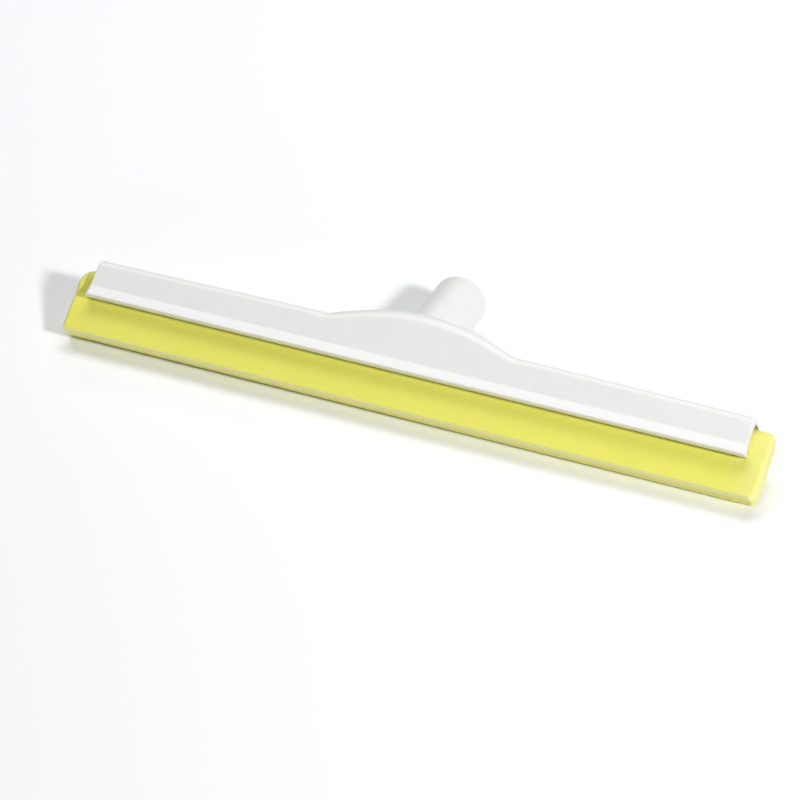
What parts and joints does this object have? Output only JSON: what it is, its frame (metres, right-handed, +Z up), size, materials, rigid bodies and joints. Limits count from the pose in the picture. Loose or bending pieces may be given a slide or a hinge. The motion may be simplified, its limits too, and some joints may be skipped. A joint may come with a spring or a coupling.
{
  "type": "floor squeegee",
  "caption": "Floor squeegee head lying on its back: white moulded channel with a hump and a round handle socket, and a folded yellow foam blade that slides out endwise over a core strip.",
  "frame": {"origin": "on the floor, under the middle of the part's box as it lies on its back", "axes": "+X along the blade, +Y from the lips towards the handle, +Z up from the floor"},
  "size_m": [0.45, 0.1084, 0.0463],
  "materials": {
    "white_polypropylene": "satin",
    "yellow_foam": "matte",
    "natural_polypropylene": "satin"
  },
  "bodies": {
    "head": {"head_frame": "white_polypropylene"},
    "blade": {"foam_blade": "yellow_foam"},
    "core": {"core_strip": "natural_polypropylene"}
  },
  "joints": [
    {"name": "blade_slide", "type": "slide", "parent": "head", "child": "blade", "axis": [1, 0, 0], "range_m": [-0.44, 0.44]},
    {"name": "core_slide", "type": "slide", "parent": "blade", "child": "core", "axis": [1, 0, 0], "range_m": [-0.44, 0.44]}
  ]
}
